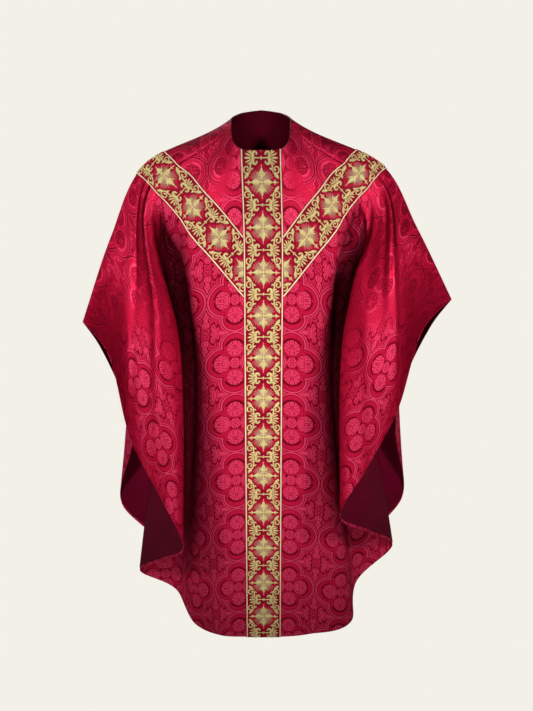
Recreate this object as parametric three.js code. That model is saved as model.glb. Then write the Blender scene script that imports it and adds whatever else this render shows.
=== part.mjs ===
// A gothic chasuble, a sleeveless vestment worn over the shoulders like a wide poncho, in the hollow form
// that it takes on a wearer whose arms are held low and forward. Cloth falls from the neck over each
// shoulder and forearm. Beside the body it doubles back on itself, so that the lining shows below the
// forearm.
//
// Units are millimetres. +Z is up, -Y is the front, +X is the wearer's left. The origin is the middle of
// the neck opening, level with the points where the shoulder seams start, which is where the wearer's neck
// and shoulders hold the garment up.
//
// The garment is one smooth surface, and each piece is a wall cut from it. The surface hangs on lengthwise
// lines that run from the neckline to the hem, each through four places: neck, yoke (where the cloth leaves
// the shoulders and arm), fall (halfway down) and hem. A second map holds the same lines on the flat cut,
// so that the orphreys, which are straight bands on the flat cloth, can be laid on the worn shape.

import * as THREE from "three";

// ---- Driving dimensions ----

const SHELL = 1.6; // damask and its interlining
const LINING = 1.0;
const GAP = 0.3; // between the panels and the orphreys sewn on them
const LINING_GAP = 0.5; // between the shell and its lining
const SEAM = 0.2; // each panel's distance from the middle of the shoulder seam
const LINING_SHORT = 0.12; // share of the last row of facets that the lining's hem stops above the shell's

// The orphreys are 86 wide. The middle of a slanting arm reaches the column's edge at `meets` down the flat
// cut, and climbs from there at `slope` degrees.
const ORPHREY = { width: 86, thick: 1.2, meets: 343, slope: 51.5 };
const COLUMN_EDGE = ORPHREY.width / 2;
const SNAP = 0.6; // a facet's corner this near an arm's edge is taken to be on it

// The neck opening on the worn shape dips at the front, and lies a little to the wearer's right. half: its
// width from the middle. bend: how fast it rises from the centre line. stand: how steeply the cloth leaves
// it.
const NECK = {
  centreX: -5, centreY: -5, half: 65, front: 90, back: 80, frontDrop: 60, backRise: 12, bend: 1.5, stand: 120,
};

// How square an outline is: 2 for an ellipse, more for one that is flatter across the middle.
const ELLIPSE = 2;
const NECK_FRONT_SQUARE = 5;

// The flat cut of one half of a panel. x runs out from the centre line and y down from the seam's start at
// the neck.
const CUT = { neckHalf: 64, neckDepth: { front: 95, back: 40 }, halfWidth: 682, seamDrop: 190, length: 1305 };

// The wearer's two sides. The left forearm is held higher and wider.
const SIDES = {
  left: { sign: 1, raised: 1 },
  right: { sign: -1, raised: 0 },
};

// ---- The lengthwise lines, from the centre to the shoulder seam ---- neck: share of the way round the
// neckline from the column's edge to the seam. facets: how many facets lie between this line and the next.

const FRONT_LINES = [
  { name: "centre", facets: 2 },
  { name: "column_edge", neck: 0, facets: 2 },
  { name: "panel", neck: 0.2, facets: 2 },
  { name: "turn", neck: 0.37, facets: 2 },
  { name: "valley", neck: 0.5, facets: 2 },
  { name: "back_fold", neck: 0.6, facets: 2 },
  { name: "doubled", neck: 0.68, facets: 3 },
  { name: "front_fold", neck: 0.76, facets: 3 },
  { name: "flap", neck: 0.83, facets: 3 },
  { name: "under_arm", neck: 0.89, facets: 3 },
  { name: "inner_arm", neck: 0.95, facets: 3 },
];

const BACK_LINES = [
  { name: "centre", facets: 2 },
  { name: "column_edge", neck: 0, facets: 2 },
  { name: "first_ridge", neck: 0.15, facets: 3 },
  { name: "first_hollow", neck: 0.3, facets: 3 },
  { name: "second_ridge", neck: 0.44, facets: 3 },
  { name: "second_hollow", neck: 0.57, facets: 3 },
  { name: "side_fold", neck: 0.69, facets: 3 },
  { name: "sweep", neck: 0.79, facets: 2 },
  { name: "behind_arm", neck: 0.87, facets: 2 },
  { name: "outer_arm", neck: 0.94, facets: 2 },
];

const SEAM_LINE = { name: "shoulder_seam", neck: 1 };

// ---- Where the lines pass, one table for each section. x is out from the centre on either side. ----
// lift and spread are added to z and x where the arm is raised.

const FRONT_YOKE = [
  { line: "centre", x: 0, y: -118, z: -240 },
  { line: "column_edge", x: 43, y: -116, z: -240 },
  { line: "panel", x: 100, y: -105, z: -235 },
  { line: "turn", x: 152, y: -91, z: -226 },
  { line: "valley", x: 180, y: -68, z: -212 },
  { line: "back_fold", x: 204, y: -52, z: -197 },
  { line: "doubled", x: 221, y: -49, z: -181 },
  { line: "front_fold", x: 236, y: -46, z: -165 },
  { line: "flap", x: 248, y: -36, z: -148 },
  { line: "under_arm", x: 257, y: -24, z: -132 },
  { line: "inner_arm", x: 263, y: -8, z: -117 },
];

const FRONT_FALL = [
  { line: "centre", x: 0, y: -105, z: -600 },
  { line: "column_edge", x: 43, y: -104, z: -600 },
  { line: "panel", x: 104, y: -96, z: -600 },
  { line: "turn", x: 150, y: -76, z: -600 },
  { line: "valley", x: 168, y: 26, z: -590 },
  { line: "back_fold", x: 234, y: 36, z: -560, lift: 20 },
  { line: "doubled", x: 213, y: -60, z: -520, lift: 25 },
  { line: "front_fold", x: 182, y: -150, z: -480, lift: 30, spread: -8 },
  { line: "flap", x: 222, y: -172, z: -420, lift: 30 },
  { line: "under_arm", x: 268, y: -168, z: -345, lift: 28 },
  { line: "inner_arm", x: 303, y: -142, z: -283, lift: 26 },
];

const FRONT_HEM = [
  { line: "centre", x: 0, y: -57, z: -1265 },
  { line: "column_edge", x: 43, y: -56, z: -1265 },
  { line: "panel", x: 110, y: -46, z: -1267, lift: 3 },
  { line: "turn", x: 176, y: -8, z: -1262, lift: 14, spread: 50 },
  { line: "valley", x: 220, y: 30, z: -1183, lift: 25, spread: 18 },
  { line: "back_fold", x: 314, y: 45, z: -1140, lift: 71, spread: 11 },
  { line: "doubled", x: 250, y: -70, z: -1045, lift: 76, spread: 5 },
  { line: "front_fold", x: 183, y: -180, z: -952, lift: 81, spread: -10 },
  { line: "flap", x: 223, y: -202, z: -831, lift: 75 },
  { line: "under_arm", x: 287, y: -222, z: -671, lift: 65 },
  { line: "inner_arm", x: 326, y: -246, z: -460, lift: 52, spread: 8 },
];

const SEAM_YOKE = { x: 267, y: 10, z: -104 };
const SEAM_FALL = { x: 329, y: -100, z: -243, lift: 24 };
const SEAM_HEM = { x: 371, y: -262, z: -392, lift: 48, spread: 14 };

const BACK_YOKE = [
  { line: "centre", x: 0, y: 118, z: -245 },
  { line: "column_edge", x: 43, y: 117, z: -245 },
  { line: "first_ridge", x: 100, y: 113, z: -235 },
  { line: "first_hollow", x: 140, y: 106, z: -225 },
  { line: "second_ridge", x: 175, y: 98, z: -212 },
  { line: "second_hollow", x: 205, y: 86, z: -195 },
  { line: "side_fold", x: 232, y: 72, z: -175 },
  { line: "sweep", x: 252, y: 56, z: -152 },
  { line: "behind_arm", x: 263, y: 42, z: -133 },
  { line: "outer_arm", x: 269, y: 26, z: -117 },
];

const BACK_FALL = [
  { line: "centre", x: 0, y: 135, z: -630 },
  { line: "column_edge", x: 43, y: 134, z: -630 },
  { line: "first_ridge", x: 110, y: 138, z: -620 },
  { line: "first_hollow", x: 155, y: 88, z: -600 },
  { line: "second_ridge", x: 200, y: 122, z: -570 },
  { line: "second_hollow", x: 236, y: 58, z: -530 },
  { line: "side_fold", x: 286, y: 78, z: -480 },
  { line: "sweep", x: 316, y: 8, z: -420, lift: 14 },
  { line: "behind_arm", x: 328, y: -50, z: -362, lift: 18 },
  { line: "outer_arm", x: 338, y: -88, z: -292, lift: 23 },
];

const BACK_HEM = [
  { line: "centre", x: 0, y: 150, z: -1285 },
  { line: "column_edge", x: 43, y: 148, z: -1285 },
  { line: "first_ridge", x: 125, y: 160, z: -1262 },
  { line: "first_hollow", x: 180, y: 96, z: -1215, lift: 5 },
  { line: "second_ridge", x: 245, y: 142, z: -1150, lift: 10 },
  { line: "second_hollow", x: 284, y: 60, z: -1040, lift: 14 },
  { line: "side_fold", x: 365, y: 100, z: -972, lift: 18, spread: -10 },
  { line: "sweep", x: 318, y: 0, z: -765, lift: 30 },
  { line: "behind_arm", x: 318, y: -110, z: -610, lift: 40 },
  { line: "outer_arm", x: 350, y: -208, z: -456, lift: 46, spread: 8 },
];

// Rows of facets down the cloth, as shares of each line's length. They are closer where the shoulders bend
// it.
const ROWS = [0, 0.04, 0.08, 0.12, 0.165, 0.21, 0.265, 0.33, 0.41, 0.5, 0.59, 0.68, 0.77, 0.86, 0.94, 1];

const ARC_STEPS = 90; // short lines that stand for a quarter of a rounded outline
const FRAME_STEP = 0.002; // shares of the surface over which the cloth's direction is measured
const TINY = 1e-6;

// ---- Points and curves ----

const rad = THREE.MathUtils.degToRad;
const vec = (x, y, z) => new THREE.Vector3(x, y, z);

// A smooth curve's place a share of the way from b to c, with a before them and d after. The root of each
// distance is used, which keeps the curve from looping where its points are unevenly spaced.
function curveBetween(a, b, c, d, share) {
  const [ab, bc, cd] = [a.distanceTo(b) ** 0.5, b.distanceTo(c) ** 0.5, c.distanceTo(d) ** 0.5];
  const slope = (p, q, r, first, second) => {
    const before = q.clone().sub(p).divideScalar(first);
    const after = r.clone().sub(q).divideScalar(second);
    return before.multiplyScalar(second).addScaledVector(after, first).divideScalar(first + second);
  };
  const leave = slope(a, b, c, ab, bc).multiplyScalar(bc);
  const arrive = slope(b, c, d, bc, cd).multiplyScalar(bc);
  const s = share;
  return b.clone().multiplyScalar(2 * s ** 3 - 3 * s ** 2 + 1)
    .addScaledVector(leave, s ** 3 - 2 * s ** 2 + s)
    .addScaledVector(c, 3 * s ** 2 - 2 * s ** 3)
    .addScaledVector(arrive, s ** 3 - s ** 2);
}

// Where a line is, at a share of its worn length. key: "worn" for its place on the wearer, "cut" for its
// place on the flat cut. Both hold its points at the neck, yoke, fall and hem.
function alongLine(line, key, share) {
  const [neck, yoke, fall, hem] = line[key];
  const stand = key === "worn" ? NECK.stand : 0;
  const before = neck.clone().multiplyScalar(2).sub(yoke).add(vec(0, 0, stand));
  const after = hem.clone().multiplyScalar(2).sub(fall);
  const chain = [before, neck, yoke, fall, hem, after];
  const steps = [0, 1, 2].map((n) => line.worn[n].distanceTo(line.worn[n + 1]));
  let left = share * (steps[0] + steps[1] + steps[2]);
  let step = 0;
  while (step < 2 && left > steps[step]) left -= steps[step++];
  return curveBetween(...chain.slice(step, step + 4), Math.min(1, left / steps[step]));
}

// ---- Stations. Each one, such as the neckline or the hem, is a quarter of a rounded outline from the
// panel's centre line to its shoulder seam. ----

const lerp = THREE.MathUtils.lerp;

// The point that is a share of the way round the quarter from the column's edge to its side. half and
// depth: how far the quarter reaches across and along.
function roundedQuarter(half, depth, square, share) {
  const first = Math.asin((COLUMN_EDGE / half) ** (square / 2));
  const arc = Array.from({ length: ARC_STEPS + 1 }, (_, n) => {
    const turned = lerp(first, Math.PI / 2, n / ARC_STEPS);
    const [across, along] = [Math.sin(turned), Math.max(0, Math.cos(turned))].map((r) => r ** (2 / square));
    return vec(half * across, depth * along, 0);
  });
  const run = [0];
  for (let n = 1; n <= ARC_STEPS; n++) run.push(run[n - 1] + arc[n].distanceTo(arc[n - 1]));
  const wanted = share * run[ARC_STEPS];
  const n = Math.max(1, run.findIndex((length) => length >= wanted - TINY));
  return arc[n - 1].clone().lerp(arc[n], (wanted - run[n - 1]) / (run[n] - run[n - 1]));
}

// A station on the flat cut, at shares of the centre line's and the shoulder seam's lengths. Only the front
// neckline is squared.
function cutStation(isFront, centreShare, seamShare) {
  const seam = vec(lerp(CUT.neckHalf, CUT.halfWidth, seamShare), lerp(0, CUT.seamDrop, seamShare), 0);
  const centreY = lerp(isFront ? CUT.neckDepth.front : CUT.neckDepth.back, CUT.length, centreShare);
  return { seam, centreY, square: isFront && centreShare === 0 ? NECK_FRONT_SQUARE : ELLIPSE };
}

function cutPoint({ seam, centreY, square }, share) {
  const { x, y } = roundedQuarter(seam.x, centreY - seam.y, square, share);
  return vec(x, seam.y + y, 0);
}

// ---- The ring of lines, once round the garment from the centre front: left front, left back, right back,
// right front. A place on the ring is a number from 0 to 4, with the shoulder seams at 1 and 3. ----

// A point of the neckline. share: its share of the way from the column's edge to the seam, if it isn't the
// centre.
function neckPoint(side, isFront, share) {
  const [depth, level, square] = isFront
    ? [NECK.front, -NECK.frontDrop, NECK_FRONT_SQUARE]
    : [NECK.back, NECK.backRise, ELLIPSE];
  const { x, y } = share === undefined ? vec(0, depth, 0) : roundedQuarter(NECK.half, depth, square, share);
  const height = level * (y / depth) ** NECK.bend;
  return vec(NECK.centreX + side.sign * x, NECK.centreY + (isFront ? -y : y), height);
}

function placed(side, row) {
  const spread = side.raised * (row.spread ?? 0);
  return vec(side.sign * (row.x + spread), row.y, row.z + side.raised * (row.lift ?? 0));
}

// One side's lines on one panel, from the centre to the shoulder seam. across: the line's share of the hem.
function quarterLines(side, isFront) {
  const sections = isFront
    ? [FRONT_YOKE, FRONT_FALL, FRONT_HEM]
    : [BACK_YOKE, BACK_FALL, BACK_HEM];
  const rows = [SEAM_YOKE, SEAM_FALL, SEAM_HEM];
  const lines = [...(isFront ? FRONT_LINES : BACK_LINES), SEAM_LINE].map((line, i) => ({
    ...line,
    worn: [neckPoint(side, isFront, line.neck),
      ...sections.map((section, n) => placed(side, section[i] ?? rows[n]))],
  }));
  // shares: how far down each line its points are. runs: how far each line is from the centre at each point.
  const shares = lines.map(({ worn: [neck, yoke, fall, hem] }) => {
    const [first, second, third] = [neck.distanceTo(yoke), yoke.distanceTo(fall), fall.distanceTo(hem)];
    return [0, first, first + second, first + second + third].map((run) => run / (first + second + third));
  });
  const runs = [0, 1, 2, 3].map((station) => {
    const run = [0];
    lines.slice(1).forEach((line, i) => {
      run.push(run[i] + line.worn[station].distanceTo(lines[i].worn[station]));
    });
    return run;
  });
  lines.forEach((line, i) => {
    line.cut = runs.map((run, station) => {
      const cut = cutStation(isFront, shares[0][station], shares.at(-1)[station]);
      if (i === 0) return vec(0, cut.centreY, 0);
      const point = cutPoint(cut, (run[i] - run[1]) / (run.at(-1) - run[1]));
      return vec(side.sign * point.x, point.y, 0);
    });
    line.across = runs[3][i] / runs[3].at(-1);
  });
  return lines;
}

function ringOfLines() {
  const place = (lines, placeOf) => lines.map((line) => ({ ...line, place: placeOf(line.across) }));
  const { left, right } = SIDES;
  return [
    ...place(quarterLines(left, true), (across) => across),
    ...place(quarterLines(left, false).reverse().slice(1), (across) => 2 - across),
    ...place(quarterLines(right, false).slice(1), (across) => 2 + across),
    ...place(quarterLines(right, true).reverse().slice(1, -1), (across) => 4 - across),
  ];
}

const RING = ringOfLines();

// A place on the garment: ring place and share of the way down. On the cut, the curve stops at a shoulder
// seam.
function pointAt(place, down, key) {
  const wrapped = (place + 4) % 4;
  let i = RING.length - 1;
  while (i > 0 && RING[i].place > wrapped) i--;
  const lines = [-1, 0, 1, 2].map((n) => RING[(i + n + RING.length) % RING.length]);
  const corners = lines.map((line) => alongLine(line, key, down));
  if (key === "cut") {
    const beyond = (near, far) => corners[near].clone().multiplyScalar(2).sub(corners[far]);
    if (lines[1].name === SEAM_LINE.name) corners[0] = beyond(1, 2);
    if (lines[2].name === SEAM_LINE.name) corners[3] = beyond(2, 1);
  }
  const width = (lines[2].place - lines[1].place + 4) % 4;
  return curveBetween(...corners, (wrapped - lines[1].place) / width);
}

// The cloth's outward direction, and the direction round the ring.
function clothFrame(place, down) {
  const [above, below] = [Math.max(0, down - FRAME_STEP), Math.min(1, down + FRAME_STEP)];
  const [before, after] = [place - FRAME_STEP, place + FRAME_STEP];
  const round = pointAt(after, down, "worn").sub(pointAt(before, down, "worn")).normalize();
  const downwards = pointAt(place, below, "worn").sub(pointAt(place, above, "worn")).normalize();
  return { out: downwards.cross(round).normalize(), round };
}

// ---- Panels as grids of corners. Each corner knows its worn point, outward direction and place on the
// cut. ----

// The ring places of a panel's columns of corners, from one shoulder seam to the other.
function panelPlaces(isFront) {
  const acrossOf = (side) => {
    const lines = quarterLines(side, isFront);
    const between = lines.slice(1).flatMap((line, i) => Array.from({ length: lines[i].facets },
      (_, n) => lerp(lines[i].across, line.across, (n + 1) / lines[i].facets)));
    return [0, ...between];
  };
  const [left, right] = [acrossOf(SIDES.left), acrossOf(SIDES.right)];
  return isFront
    ? [...right.slice(1).reverse().map((across) => -across), ...left]
    : [...left.slice(1).reverse().map((across) => 2 - across), ...right.map((across) => 2 + across)];
}

// A panel's grid, with its edge along each shoulder seam moved in a little, to leave the seam's gap.
function panelGrid(isFront) {
  const places = panelPlaces(isFront);
  const grid = ROWS.map((down, r) => places.map((place, c) => ({
    id: `${r}.${c}`,
    point: pointAt(place, down, "worn"),
    cut: pointAt(place, down, "cut"),
    ...clothFrame(place, down),
  })));
  return movedColumn(movedColumn(grid, 0, SEAM), places.length - 1, -SEAM);
}

function movedColumn(grid, column, distance) {
  const moved = (corner) => (
    { ...corner, point: corner.point.clone().addScaledVector(corner.round, distance) });
  return grid.map((row) => row.map((corner, c) => (c === column ? moved(corner) : corner)));
}

// The lining's grid is the panel's own, with its last row drawn up from the hem.
function drawnUp(grid) {
  const [above, hem] = grid.slice(-2);
  const raised = hem.map((corner, c) => (
    { ...corner, point: corner.point.clone().lerp(above[c].point, LINING_SHORT) }));
  return [...grid.slice(0, -1), raised];
}

// ---- Walls over facets ----

// Two facets for each cell of a grid, split along its shorter diagonal on the cut.
function facetsOf(grid) {
  return grid.slice(1).flatMap((row, r) => row.slice(1).flatMap((_, c) => {
    const [a, b, e, d] = [grid[r][c], grid[r + 1][c], grid[r + 1][c + 1], grid[r][c + 1]];
    return a.cut.distanceTo(e.cut) < b.cut.distanceTo(d.cut)
      ? [[a, b, e], [a, e, d]]
      : [[a, b, d], [b, e, d]];
  }));
}

// The part of each facet where a distance, measured on the cut, is positive. Facets that share an edge
// share the new corner on it.
function trimmed(facets, distance) {
  const made = new Map();
  const cornerBetween = (p, q) => {
    const [a, b] = p.id < q.id ? [p, q] : [q, p];
    const id = `${a.id}-${b.id}`;
    if (!made.has(id)) {
      const share = distance(a) / (distance(a) - distance(b));
      const blend = (key) => a[key].clone().lerp(b[key], share);
      made.set(id, { id, point: blend("point"), cut: blend("cut"), out: blend("out") });
    }
    return made.get(id);
  };
  const keep = (facet) => facet.flatMap((corner, i) => {
    const next = facet[(i + 1) % facet.length];
    return [
      ...(distance(corner) >= 0 ? [corner] : []),
      ...(distance(corner) * distance(next) < 0 ? [cornerBetween(corner, next)] : []),
    ];
  });
  return facets.map(keep).filter((facet) => facet.length > 2);
}

// A closed wall over facets, from one height above the cloth to a lower one.
function wallOver(facets, high, low) {
  const corners = [...new Set(facets.flat())];
  const number = new Map(corners.map((corner, n) => [corner, n]));
  const points = [high, low].flatMap((height) =>
    corners.flatMap(({ point, out }) => point.clone().addScaledVector(out, height).toArray()));
  const behind = corners.length;
  const index = [];
  const edges = new Set();
  for (const facet of facets) {
    const at = facet.map((corner) => number.get(corner));
    for (let n = 1; n < at.length - 1; n++) {
      index.push(at[0], at[n], at[n + 1]);
      index.push(at[0] + behind, at[n + 1] + behind, at[n] + behind);
    }
    at.forEach((a, n) => edges.add(`${a},${at[(n + 1) % at.length]}`));
  }
  for (const edge of edges) {
    const [a, b] = edge.split(",").map(Number);
    if (!edges.has(`${b},${a}`)) index.push(a, a + behind, b + behind, a, b + behind, b);
  }
  const geometry = new THREE.BufferGeometry();
  geometry.setAttribute("position", new THREE.Float32BufferAttribute(points, 3));
  geometry.setIndex(index);
  return geometry;
}

// ---- The garment ----

const FINISHES = {
  damask: { color: 0xb80f3a, roughness: 0.55 },
  lining: { color: 0x5a0a24, roughness: 0.7 },
  braid: { color: 0xc9a85a, roughness: 0.5, metalness: 0.4 },
};

const chasuble = new THREE.Group();

function addPiece(name, geometry, finish) {
  const mesh = new THREE.Mesh(geometry, new THREE.MeshStandardMaterial(FINISHES[finish]));
  mesh.name = name;
  chasuble.add(mesh);
}

const addOrphrey = (name, facets) => addPiece(name, wallOver(facets, GAP + ORPHREY.thick, GAP), "braid");

// How far a corner is from the middle of its side's slanting arm, on the cut.
function fromArm({ cut }) {
  const slope = rad(ORPHREY.slope);
  return (Math.abs(cut.x) - COLUMN_EDGE) * Math.sin(slope) + (cut.y - ORPHREY.meets) * Math.cos(slope);
}

// A slanting arm of the orphrey, over the part of the panel's grid that is beside the column.
function addArm(name, grid) {
  const snapped = (distance) => (Math.abs(distance) < SNAP ? 0 : distance);
  const below = trimmed(facetsOf(grid), (corner) => snapped(fromArm(corner) + ORPHREY.width / 2));
  addOrphrey(name, trimmed(below, (corner) => snapped(ORPHREY.width / 2 - fromArm(corner))));
}

// A panel, its lining and its orphreys. sides: the sides that the grid starts and ends on.
function addPanel(name, isFront, sides) {
  const grid = panelGrid(isFront);
  const columns = (first, last) => grid.map((row) => row.slice(first, last + 1));
  const liningTop = -(SHELL + LINING_GAP);
  addPiece(`${name}_panel`, wallOver(facetsOf(grid), 0, -SHELL), "damask");
  addPiece(`${name}_lining`, wallOver(facetsOf(drawnUp(grid)), liningTop, liningTop - LINING), "lining");
  const middle = grid[0].findIndex((corner) => Math.abs(corner.cut.x) < TINY);
  const [first, last] = [middle - FRONT_LINES[0].facets, middle + FRONT_LINES[0].facets];
  addOrphrey(`${name}_column`, facetsOf(columns(first, last)));
  addArm(`${name}_arm_${sides[0]}`, movedColumn(columns(0, first), first, -GAP));
  addArm(`${name}_arm_${sides[1]}`, movedColumn(columns(last, grid[0].length - 1), 0, GAP));
}

addPanel("front", true, ["right", "left"]);
addPanel("back", false, ["left", "right"]);

export default chasuble;
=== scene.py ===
"""A gothic chasuble in its worn, hollow form: a sleeveless vestment that hangs like a wide poncho.

The cloth is one smooth surface hung on lengthwise lines, and every piece is cut from it: the damask panels,
their linings, the braid orphreys and the gold embroidery on them. Measures are in millimetres until a mesh is
made, which is in metres. +Z is up, -Y is the front and +X is the wearer's left, from the middle of the neck
opening.
"""
from functools import reduce
from math import cos, pi, radians, sin

import bpy
import numpy as np
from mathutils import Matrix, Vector
from mathutils.bvhtree import BVHTree


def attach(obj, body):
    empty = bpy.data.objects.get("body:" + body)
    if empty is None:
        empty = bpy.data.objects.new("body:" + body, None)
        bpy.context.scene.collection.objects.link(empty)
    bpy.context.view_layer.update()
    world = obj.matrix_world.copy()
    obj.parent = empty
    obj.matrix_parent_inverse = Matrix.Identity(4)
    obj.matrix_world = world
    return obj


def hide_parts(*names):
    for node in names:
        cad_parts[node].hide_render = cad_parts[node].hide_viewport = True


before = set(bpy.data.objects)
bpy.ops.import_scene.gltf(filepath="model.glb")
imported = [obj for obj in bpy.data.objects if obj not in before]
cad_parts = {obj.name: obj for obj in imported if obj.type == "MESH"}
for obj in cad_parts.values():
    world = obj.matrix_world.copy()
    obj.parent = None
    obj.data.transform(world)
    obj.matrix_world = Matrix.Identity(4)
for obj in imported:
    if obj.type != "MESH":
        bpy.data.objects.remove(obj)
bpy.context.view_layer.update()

MM = 0.001

# ---- Driving measures, the same as in the solids ----

SHELL = 1.6  # damask and its interlining
LINING = 1.0
GAP = 0.3  # between the panels and the orphreys sewn on them
LINING_GAP = 0.5
SEAM = 0.2  # each panel's distance from the middle of the shoulder seam
LINING_END = 0.9928  # the share of the way down its lines that the lining goes
BRAID = {"width": 86, "thick": 1.2, "meets": 343, "slope": radians(51.5)}
BRAID_EDGE = BRAID["width"] / 2
# The worn neckline: its middle, half its width, its reach to the front and the back, and how far it drops in
# front and rises behind, by the power called bend. The lines start as if from a stand this much higher.
NECK = {"centre_x": -5, "centre_y": -5, "half": 65, "front": 90, "back": 80, "front_drop": 60,
        "back_rise": 12, "bend": 1.5, "stand": 120}
ELLIPSE, NECK_FRONT_SQUARE = 2, 5  # how square an outline is: more than 2 is flatter across the middle
CUT = {"neck_half": 64, "front_depth": 95, "back_depth": 40, "half_width": 682, "seam_drop": 190,
       "length": 1305}

# The wearer's two sides: the sign of x, and how far the forearm is raised.
LEFT, RIGHT = (1, 1), (-1, 0)

# ---- The lengthwise lines, from the centre to the shoulder seam ----
# Each line has its share of the way round the neckline from the column's edge (None on the centre line), the
# columns of faces to the next line, and its places at the yoke, the fall and the hem. A place is x, y, z, and
# what is added to z and x where the arm is raised.

FRONT_LINES = [
    (None, 10, (0, -118, -240), (0, -105, -600), (0, -57, -1265)),
    (0, 10, (43, -116, -240), (43, -104, -600), (43, -56, -1265)),
    (0.2, 11, (100, -105, -235), (104, -96, -600), (110, -46, -1267, 3)),
    (0.37, 12, (152, -91, -226), (150, -76, -600), (176, -8, -1262, 14, 50)),
    (0.5, 12, (180, -68, -212), (168, 26, -590), (220, 30, -1183, 25, 18)),
    (0.6, 12, (204, -52, -197), (234, 36, -560, 20), (314, 45, -1140, 71, 11)),
    (0.68, 14, (221, -49, -181), (213, -60, -520, 25), (250, -70, -1045, 76, 5)),
    (0.76, 14, (236, -46, -165), (182, -150, -480, 30, -8), (183, -180, -952, 81, -10)),
    (0.83, 12, (248, -36, -148), (222, -172, -420, 30), (223, -202, -831, 75)),
    (0.89, 12, (257, -24, -132), (268, -168, -345, 28), (287, -222, -671, 65)),
    (0.95, 12, (263, -8, -117), (303, -142, -283, 26), (326, -246, -460, 52, 8)),
]
BACK_LINES = [
    (None, 10, (0, 118, -245), (0, 135, -630), (0, 150, -1285)),
    (0, 12, (43, 117, -245), (43, 134, -630), (43, 148, -1285)),
    (0.15, 12, (100, 113, -235), (110, 138, -620), (125, 160, -1262)),
    (0.3, 12, (140, 106, -225), (155, 88, -600), (180, 96, -1215, 5)),
    (0.44, 12, (175, 98, -212), (200, 122, -570), (245, 142, -1150, 10)),
    (0.57, 12, (205, 86, -195), (236, 58, -530), (284, 60, -1040, 14)),
    (0.69, 14, (232, 72, -175), (286, 78, -480), (365, 100, -972, 18, -10)),
    (0.79, 12, (252, 56, -152), (316, 8, -420, 14), (318, 0, -765, 30)),
    (0.87, 12, (263, 42, -133), (328, -50, -362, 18), (318, -110, -610, 40)),
    (0.94, 11, (269, 26, -117), (338, -88, -292, 23), (350, -208, -456, 46, 8)),
]
SEAM_LINE = (1, 0, (267, 10, -104), (329, -100, -243, 24), (371, -262, -392, 48, 14))

ROWS = [0, 0.04, 0.08, 0.12, 0.165, 0.21, 0.265, 0.33, 0.41, 0.5, 0.59, 0.68, 0.77, 0.86, 0.94, 1]
ROW_STEPS = 9  # rows of faces between two of ROWS


# ---- The surface ----

def run_along(points):
    """How far along its path each point is, for one path or for several side by side."""
    steps = np.linalg.norm(np.diff(points, axis=0), axis=-1)
    return np.concatenate([np.zeros_like(steps[:1]), np.cumsum(steps, axis=0)])


def divided(stops, counts):
    """Places from the first stop to the last, in a count of even steps from each to the next."""
    spans = zip(stops, stops[1:], counts)
    return np.concatenate([np.linspace(a, b, count, endpoint=False) for a, b, count in spans] + [stops[-1:]])


def unit(vectors):
    return vectors / np.linalg.norm(vectors, axis=-1, keepdims=True)


def curve_between(a, b, c, d, share):
    """Places on a smooth curve from b to c, with a before them and d after, paced by root distances."""
    ab, bc, cd = (np.sqrt(np.linalg.norm(q - p, axis=-1, keepdims=True)) for p, q in ((a, b), (b, c), (c, d)))
    leave = ((b - a) / ab * bc + (c - b) / bc * ab) / (ab + bc) * bc
    arrive = ((c - b) / bc * cd + (d - c) / cd * bc) / (bc + cd) * bc
    return (b * (2 * share ** 3 - 3 * share ** 2 + 1) + leave * (share ** 3 - 2 * share ** 2 + share)
            + c * (3 * share ** 2 - 2 * share ** 3) + arrive * (share ** 3 - share ** 2))


def along(line, key, downs):
    """A line's places, at shares of its worn length, on the wearer or on the flat cut."""
    neck, yoke, fall, hem = line[key]
    stand = np.array([0, 0, NECK["stand"] if key == "worn" else 0])
    chain = np.array([2 * neck - yoke + stand, neck, yoke, fall, hem, 2 * hem - fall])
    start = run_along(line["worn"])
    run = np.asarray(downs) * start[-1]
    step = np.clip(np.searchsorted(start, run) - 1, 0, 2)
    share = np.minimum(1, (run - start[step]) / np.diff(start)[step])[:, None]
    return curve_between(*(chain[step + n] for n in range(4)), share)


ARC_STEPS = 90  # steps by which the length of a rounded outline is measured


def rounded_quarter(half, depth, square, share):
    """The point a share of the way round a quarter of a rounded outline, from the column's edge outwards."""
    first = np.arcsin((BRAID_EDGE / half) ** (square / 2))
    turned = np.linspace(first, pi / 2, ARC_STEPS + 1)
    arc = np.stack([half * np.sin(turned) ** (2 / square),
                    depth * np.cos(turned).clip(0) ** (2 / square)], axis=1)
    run = run_along(arc)
    return [np.interp(share * run[-1], run, arc[:, n]) for n in range(2)]


def neck_point(side, is_front, share):
    """The neckline's point a share of the way from the column's edge to the seam. None is the centre."""
    depth, level, square = ((NECK["front"], -NECK["front_drop"], NECK_FRONT_SQUARE) if is_front
                            else (NECK["back"], NECK["back_rise"], ELLIPSE))
    x, y = (0, depth) if share is None else rounded_quarter(NECK["half"], depth, square, share)
    return [NECK["centre_x"] + side[0] * x, NECK["centre_y"] + (-y if is_front else y),
            level * (y / depth) ** NECK["bend"]]


def placed(side, x, y, z, lift=0, spread=0):
    sign, raised = side
    return [sign * (x + raised * spread), y, z + raised * lift]


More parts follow.
